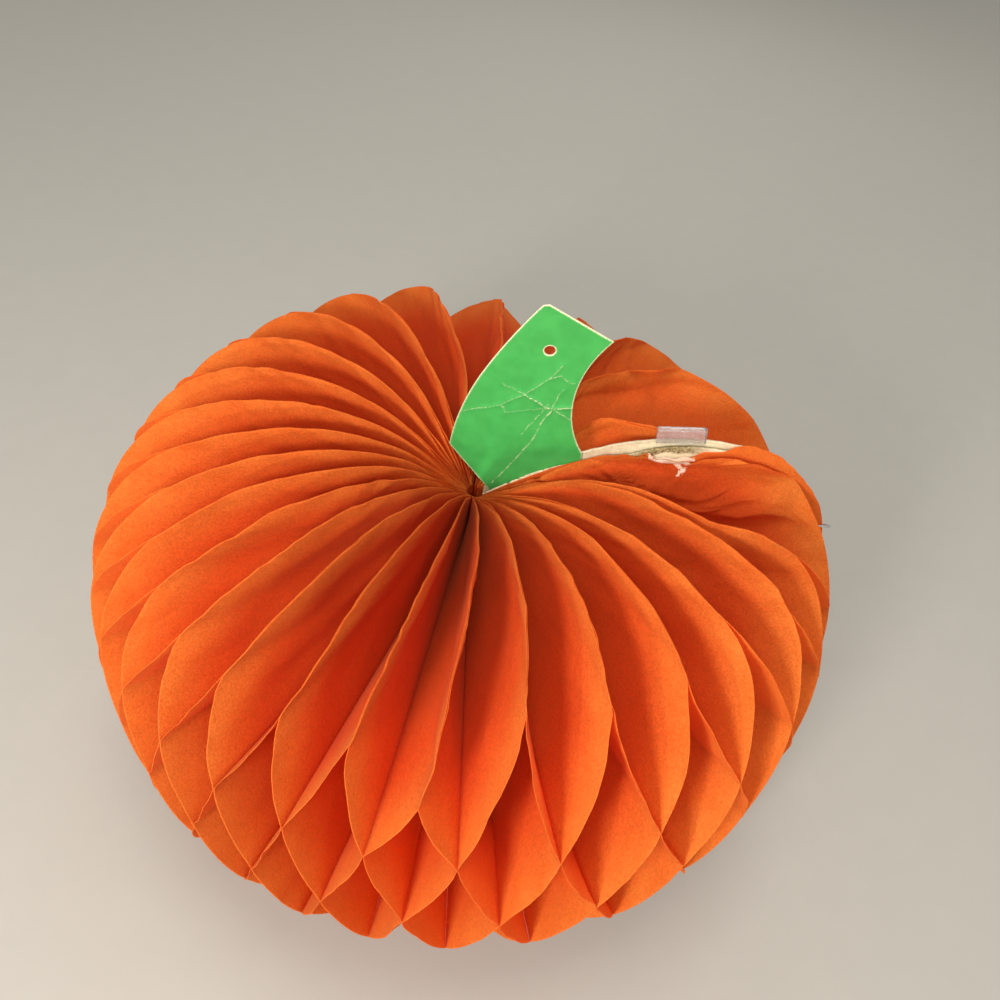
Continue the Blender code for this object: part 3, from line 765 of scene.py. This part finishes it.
def makeStem():
    # a sheet ruled between the two edges, with the points round the hole drawn onto its circle, and bent a
    # little at each crease by exp(-(distance/width)^2)
    sizes = stemSizes
    left, right = stemSides()
    t = np.linspace(0, 1, sizes["cols"])
    grid = left[:, None] * (1 - t)[None, :, None] + right[:, None] * t[None, :, None]
    hole, radius = np.array(sizes["holeAt"]), sizes["holeRadius"]
    away = grid - hole
    far = np.linalg.norm(away, axis=-1)
    quads = cellQuads(np.arange(far.size).reshape(far.shape))
    quads = quads[~np.all(cellQuads(far) < radius, axis=-1)]
    onCircle = hole + away / np.maximum(far, 1e-9)[..., None] * radius
    grid = np.where((far < radius * 1.001)[..., None], onCircle, grid)
    # p and every distance from it are in millimetres
    p = grid * 1000
    edge = np.minimum.reduce([
        *(np.min(np.linalg.norm(p[:, :, None] - side[None, None, ::2] * 1000, axis=-1), axis=-1)
          for side in (left, right)),
        segmentDistance(p, left[-1] * 1000, right[-1] * 1000),
        np.abs(np.linalg.norm(p - hole * 1000, axis=-1) - radius * 1000) * 1.1,
    ])
    bare = sizes["edgeBare"] * (1 - ease((edge - sizes["bareEdge"]) / sizes["bareFade"]))
    fold = np.zeros(far.shape)
    wander = sizes["wander"] * ripples(5, p[..., 0], p[..., 1], 5, sizes["wanderLengths"])
    swing = sizes["crackSwing"] * ripples(6, p[..., 0], p[..., 1], 5, sizes["breakLengths"])
    broken = np.clip(sizes["crackBare"] + swing, *sizes["crackLimits"])
    strayed = p + wander[..., None] * np.array(sizes["wanderWay"])
    for line, strength in stemCreases:
        for a, b in zip(line, line[1:]):
            d = segmentDistance(strayed, a, b)
            bare = np.maximum(bare, strength * broken * np.exp(-(d / sizes["crack"]) ** 2))
            fold = np.maximum(fold, strength * np.exp(-(d / sizes["foldWidth"]) ** 2))
    curl = sizes["curl"] * ripples(8, grid[..., 0], grid[..., 1], 3, sizes["curlLengths"])
    push = (curl - sizes["foldDepth"] * fold) * ease((grid[..., 1] - sizes["flatBelow"]) / sizes["flatFade"])
    points = turned(grid[..., 0], push, grid[..., 1])
    mesh = quadMesh("stemCard", points.reshape(-1, 3), quads.reshape(-1, 4), {"bare": bare})
    stem = addPiece("stemCard", mesh, [greenPrint, creamCore], "stem_card")
    thicken(stem, sizes["thickness"], rimSlot=1)


makeStem()
print("stem made")


# the clear clip on the back card and the bent wire over the rims

clipSizes = {
    # at is the clip's middle, and cardAt is where it rests on the card's top edge
    "length": 0.0185, "at": 0.0755, "cardAt": 0.0697, "wall": 0.0005, "slot": 0.0016, "height": 0.0064,
    "grip": 0.0016, "tilt": math.radians(5.0), "round": 0.00022, "steps": 13,
}


def roundedCorners(points, radius, steps=4):
    # a closed outline with each corner replaced by a curve: (1 - t)^2 a + 2 t (1 - t) corner + t^2 b
    out = []
    for i, corner in enumerate(points):
        before, after = points[i - 1], points[(i + 1) % len(points)]
        corner, before, after = np.array(corner), np.array(before), np.array(after)
        a = corner + (before - corner) / np.linalg.norm(before - corner) * radius
        b = corner + (after - corner) / np.linalg.norm(after - corner) * radius
        t = np.linspace(0, 1, steps)[:, None]
        out.append((1 - t) ** 2 * a + 2 * t * (1 - t) * corner + t ** 2 * b)
    return np.concatenate(out)


def capEnds(mesh, around, rows):
    # closes both ends of a swept outline and points every face outwards
    bm = bmesh.new()
    bm.from_mesh(mesh)
    bm.verts.ensure_lookup_table()
    bm.faces.new([bm.verts[i] for i in range(around)])
    bm.faces.new([bm.verts[(rows - 1) * around + i] for i in reversed(range(around))])
    bmesh.ops.triangulate(bm, faces=[f for f in bm.faces if len(f.verts) > 4])
    bmesh.ops.recalc_face_normals(bm, faces=bm.faces)
    bm.to_mesh(mesh)
    bm.free()


def makeClip():
    # a U section carried straight along and tilted
    sizes = clipSizes
    half, wall, high = sizes["slot"] / 2, sizes["wall"], sizes["height"]
    outline = roundedCorners([
        (-half - wall, 0), (-half, 0), (-half, high - wall), (half, high - wall),
        (half, 0), (half + wall, 0), (half + wall, high), (-half - wall, high),
    ], sizes["round"])
    along = np.linspace(-sizes["length"] / 2, sizes["length"] / 2, sizes["steps"])
    x = along[:, None] + 0 * outline[:, 0]
    y = outline[None, :, 0] + 0 * x
    z = outline[None, :, 1] + 0 * x
    c, s = math.cos(sizes["tilt"]), math.sin(sizes["tilt"])
    top = crownHeight(np.array(sizes["cardAt"])) + backCard["lift"] - sizes["grip"]
    points = turned(sizes["at"] + x * c - z * s, cardSizes["offset"] + y, top + x * s + z * c)
    mesh = sheetMesh("clearClip", points, closedU=True)
    addPiece("clearClip", mesh, [clearPlastic], "plastic_clip")
    capEnds(mesh, len(outline), sizes["steps"])


wireSizes = {
    "radius": 0.00045, "around": 12, "bowSteps": 25, "legSteps": 10,
    "height": 0.139, "side": 0.00295, "legSpread": 0.0050, "rim": 0.1401, "in": 0.016, "out": 0.0066,
}


def makeWire():
    # a round section carried along a U: a leg, half an ellipse past the rim, and the other leg
    sizes = wireSizes
    half, high = sizes["legSpread"] / 2, sizes["height"]
    bowStart = sizes["rim"] + sizes["out"] - half
    turn = np.linspace(0, math.pi, sizes["bowSteps"])
    out, across = half * np.sin(turn), np.cos(turn)
    bow = np.stack([bowStart + out, -sizes["side"] * across, high + half * across], -1)
    legs = np.linspace(sizes["rim"] - sizes["in"], bowStart, sizes["legSteps"])[:-1]
    first = np.stack([legs, 0 * legs - sizes["side"], 0 * legs + high + half], -1)
    last = first[::-1] * [1, -1, 1] - [0, 0, 2 * half]
    path = np.concatenate([first, bow, last])
    ahead = np.gradient(path, axis=0)
    ahead /= np.linalg.norm(ahead, axis=1, keepdims=True)
    side = np.cross(ahead, [0.0, 0.3, 1.0])
    side /= np.linalg.norm(side, axis=1, keepdims=True)
    other = np.cross(ahead, side)
    a = np.linspace(0, math.tau, sizes["around"] + 1)[:-1, None]
    section = np.cos(a) * side[:, None] + np.sin(a) * other[:, None]
    p = path[:, None] + sizes["radius"] * section
    mesh = sheetMesh("wireClip", turned(p[..., 0], p[..., 1], p[..., 2]), closedU=True)
    addPiece("wireClip", mesh, [brightWire], "wire_clip")
    capEnds(mesh, sizes["around"], len(path))


makeClip()
makeWire()
print("clips made")


# floor, light and camera

floorTone = (0.43, 0.415, 0.375)
studio = {
    "reach": 8.0, "worldTint": (1.0, 0.98, 0.94), "world": 0.57, "lampTint": (1.0, 0.96, 0.90),
    "aim": (0, 0, 0.12),
    "floor": {"dark": floorTone, "pale": [1.02 * c for c in floorTone], "roughness": (0.85, 0.95),
              "size": 0.02, "depth": 0.0001, "specular": 0.1},
    "lamps": [
        # place, size, strength
        ((-0.60, -1.20, 0.28), 0.10, 4.8),
        ((0.48, -1.26, 0.28), 0.10, 1.2),
        ((-0.24, -0.56, 0.44), 0.14, 3.2),
        ((0.02, -0.75, 0.85), 0.30, 2.2),
        ((0.00, -0.10, 1.50), 0.60, 6.8),
        ((0.15, 1.20, 0.80), 0.50, 1.8),
    ],
}


def makeStudio():
    # a flat square floor, an even sky, and round lamps that all face the pumpkin
    side = np.linspace(-studio["reach"] / 2, studio["reach"] / 2, 9)
    points = np.stack(np.broadcast_arrays(side[None], side[:, None], 0.0 * side[:, None]), axis=-1)
    mesh = sheetMesh("studioFloor", points)
    floor = bpy.data.objects.new("studioFloor", mesh)
    bpy.context.scene.collection.objects.link(floor)
    mesh.materials.append(makeFine("paleFloor", studio["floor"]))
    world = bpy.data.worlds.new("studio")
    world.use_nodes = True
    background = world.node_tree.nodes["Background"]
    background.inputs["Color"].default_value = (*studio["worldTint"], 1)
    background.inputs["Strength"].default_value = studio["world"]
    bpy.context.scene.world = world
    for i, (at, size, strength) in enumerate(studio["lamps"]):
        lamp = bpy.data.lights.new(f"softLamp{i + 1}", "AREA")
        lamp.shape = "DISK"
        lamp.size = size
        lamp.energy = strength
        lamp.color = studio["lampTint"]
        holder = bpy.data.objects.new(f"softLamp{i + 1}", lamp)
        bpy.context.scene.collection.objects.link(holder)
        holder.location = at
        aim = Vector(studio["aim"]) - Vector(at)
        holder.rotation_euler = aim.to_track_quat("-Z", "Y").to_euler()


# the turns are in degrees and the lens and film in millimetres
cameraSizes = {"at": (0.0120, -0.2444, 0.3823), "down": 45.05, "pan": -0.37, "roll": 7.75, "lens": 30.6,
               "film": 36, "nearest": 0.01}


def makeCamera():
    # looks ahead by its pan and down, then rolls about that line
    sizes = cameraSizes
    down, pan, roll = (math.radians(sizes[k]) for k in ("down", "pan", "roll"))
    ahead = Vector((math.sin(pan) * math.cos(down), math.cos(pan) * math.cos(down), -math.sin(down)))
    level = Vector((math.cos(pan), -math.sin(pan), 0))
    upright = level.cross(ahead)
    right = math.cos(roll) * level + math.sin(roll) * upright
    up = -math.sin(roll) * level + math.cos(roll) * upright
    lens = bpy.data.cameras.new("camera")
    lens.lens = sizes["lens"]
    lens.sensor_width = sizes["film"]
    lens.clip_start = sizes["nearest"]
    camera = bpy.data.objects.new("camera", lens)
    bpy.context.scene.collection.objects.link(camera)
    camera.matrix_world = Matrix((
        (right.x, up.x, -ahead.x, sizes["at"][0]),
        (right.y, up.y, -ahead.y, sizes["at"][1]),
        (right.z, up.z, -ahead.z, sizes["at"][2]),
        (0, 0, 0, 1),
    ))
    bpy.context.scene.camera = camera


makeStudio()
makeCamera()
bpy.context.scene.view_settings.view_transform = "Standard"
print("studio and camera made")
